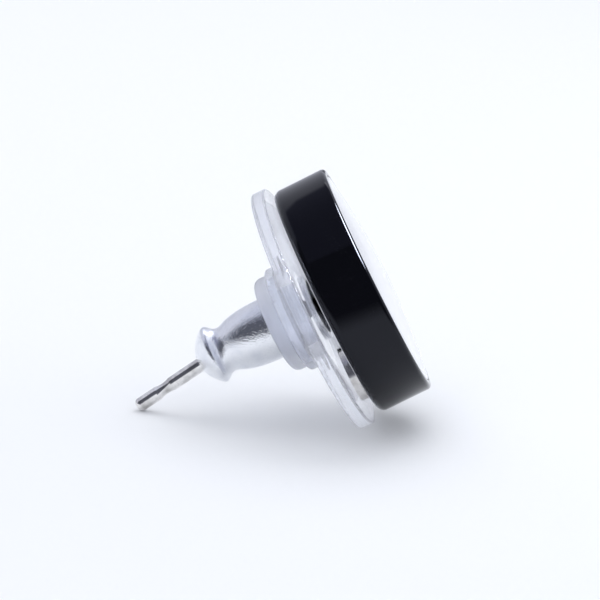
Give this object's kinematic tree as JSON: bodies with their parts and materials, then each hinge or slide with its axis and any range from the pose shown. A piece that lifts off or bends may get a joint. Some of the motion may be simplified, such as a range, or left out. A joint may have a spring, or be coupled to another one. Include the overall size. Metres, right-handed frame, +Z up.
{
  "type": "button earring",
  "caption": "Stud earring with a thick round black and white button, a bent notched post, a clear clutch disc and a turned metal clutch barrel.",
  "frame": {"origin": "middle of the base of the part's box, on the surface that it lies on", "axes": "+X along the surface from the post's tip towards the button, +Z up, +Y to the far side; the earring lies on the flat of its clutch disc's rim and on its post's tip, with the button's axis leaning up from +X"},
  "size_m": [0.0146, 0.0126, 0.0124],
  "materials": {
    "black_enamel": "high gloss",
    "white_enamel": "high gloss",
    "post_steel": "polished",
    "clutch_plating": "plated, fine satin",
    "clear_plastic": "clear moulded plastic, glossy"
  },
  "bodies": {
    "earring": {"button_body": "black_enamel", "button_face": "white_enamel", "post_and_pad": "post_steel"},
    "clutch": {"clutch_barrel": "clutch_plating", "clutch_disc": "clear_plastic"}
  },
  "joints": [
    {"name": "clutch_slide", "type": "slide", "parent": "earring", "child": "clutch", "axis": [-0.7923, 0.0432, -0.6086], "range_m": [0, 0.0106]}
  ]
}
